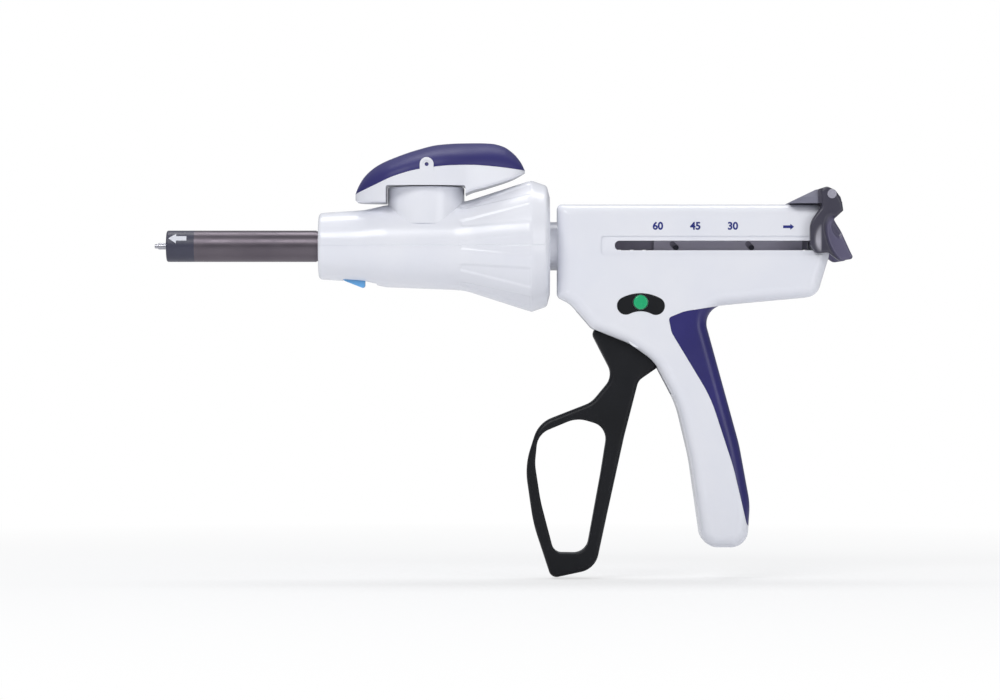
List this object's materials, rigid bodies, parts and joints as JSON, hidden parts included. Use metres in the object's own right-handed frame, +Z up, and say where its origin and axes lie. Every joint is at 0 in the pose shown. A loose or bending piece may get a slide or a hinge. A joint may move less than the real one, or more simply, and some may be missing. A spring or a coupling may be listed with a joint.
{
  "type": "endoscopic linear stapler",
  "caption": "Pistol-grip handle and short shaft of an endoscopic linear stapler, with firing trigger, rotation collar, articulation lever and return knobs.",
  "frame": {"origin": "centre of the shaft's mouth, on the shaft's axis", "axes": "+Z up, the articulation lever's side; the shaft lies along X and its mouth faces -X; the instrument's left side is -Y"},
  "size_m": [0.2814, 0.0534, 0.1755],
  "materials": {
    "white_plastic": "smooth moulded, slightly glossy",
    "navy_grip": "smooth soft-touch overmould",
    "navy_plastic": "glossy moulded",
    "black_plastic": "satin moulded",
    "grey_plastic": "satin moulded",
    "green_plastic": "glossy moulded",
    "blue_plastic": "glossy moulded",
    "shaft_metal": "dark satin tube",
    "ring_metal": "dark satin coating",
    "bar_steel": "milled",
    "steel": "turned"
  },
  "bodies": {
    "housing": {"casing_left": "white_plastic", "casing_right": "white_plastic", "grip_strap": "navy_grip", "button_bezel_left": "black_plastic", "button_bezel_right": "black_plastic", "trigger_pin": "steel", "lock_pin": "steel"},
    "firing_bar": {"rack_bar": "bar_steel", "release_pins": "steel"},
    "release_slide": {"release_plate": "bar_steel"},
    "return_knobs": {"return_saddle": "grey_plastic", "coupling_rod": "steel"},
    "trigger": {"trigger": "black_plastic", "pawl_pin": "steel"},
    "pawl": {"pawl": "steel"},
    "safety_button": {"safety_plunger": "green_plastic"},
    "lock": {"locking_member": "steel"},
    "rotator": {"shaft_tube": "shaft_metal", "load_ring": "ring_metal", "rod_guide": "grey_plastic", "collar_upper": "white_plastic", "collar_lower": "white_plastic", "hub_ring": "white_plastic", "unload_spring": "steel"},
    "lever": {"lever_base": "white_plastic", "lever_cap": "navy_plastic", "lever_axle": "steel", "lever_cam": "steel"},
    "link": {"articulation_link": "steel"},
    "drive_rod": {"control_rod": "steel"},
    "unload": {"unload_button": "blue_plastic"}
  },
  "joints": [
    {"name": "trigger_squeeze", "type": "hinge", "parent": "housing", "child": "trigger", "pos_m": [0.191, 0, -0.036], "axis": [0, -1, 0], "range_deg": [0, 25], "stiffness_Nm_per_rad": 0.4, "springref_deg": -17.19},
    {"name": "pawl_tilt", "type": "hinge", "parent": "trigger", "child": "pawl", "pos_m": [0.1965, 0, -0.0105], "axis": [0, -1, 0], "range_deg": [-25, 0]},
    {"name": "firing_stroke", "type": "slide", "parent": "housing", "child": "firing_bar", "axis": [-1, 0, 0], "range_m": [0, 0.075]},
    {"name": "knob_pull", "type": "slide", "parent": "firing_bar", "child": "return_knobs", "axis": [1, 0, 0], "range_m": [0, 0.0014], "stiffness_N_per_m": 400, "springref_m": -0.004},
    {"name": "release_drop", "type": "slide", "parent": "firing_bar", "child": "release_slide", "axis": [0.7071, 0, -0.7071], "range_m": [0, 0.00199]},
    {"name": "safety_push", "type": "slide", "parent": "housing", "child": "safety_button", "axis": [0, 1, 0], "range_m": [-0.003, 0.003], "stiffness_N_per_m": 400},
    {"name": "lock_tilt", "type": "hinge", "parent": "housing", "child": "lock", "pos_m": [0.177, 0.0092, -0.017], "axis": [0, -1, 0], "range_deg": [0, 8], "stiffness_Nm_per_rad": 0.02, "springref_deg": -11.46},
    {"name": "shaft_turn", "type": "hinge", "parent": "housing", "child": "rotator", "pos_m": [0.16, 0, 0], "axis": [-1, 0, 0], "continuous": true},
    {"name": "articulate", "type": "hinge", "parent": "rotator", "child": "lever", "pos_m": [0.105, 0, 0.03], "axis": [0, 0, 1], "range_deg": [-45, 45]},
    {"name": "link_slide", "type": "slide", "parent": "rotator", "child": "link", "axis": [1, 0, 0], "range_m": [-0.00251, 0.00251]},
    {"name": "rod_drive", "type": "slide", "parent": "rotator", "child": "drive_rod", "axis": [-1, 0, 0], "range_m": [0, 0.075]},
    {"name": "unload_pull", "type": "slide", "parent": "rotator", "child": "unload", "axis": [1, 0, 0], "range_m": [0, 0.0045], "stiffness_N_per_m": 300, "springref_m": -0.003, "deforming": ["unload_spring"]}
  ],
  "couplings": [
    {"joint": "pawl_tilt", "follows": "trigger_squeeze", "ratio": -1},
    {"joint": "release_drop", "follows": "knob_pull", "ratio": 1.4142},
    {"joint": "link_slide", "follows": "articulate", "m_per_rad": 0.0031831},
    {"joint": "rod_drive", "follows": "firing_stroke", "ratio": 1}
  ]
}
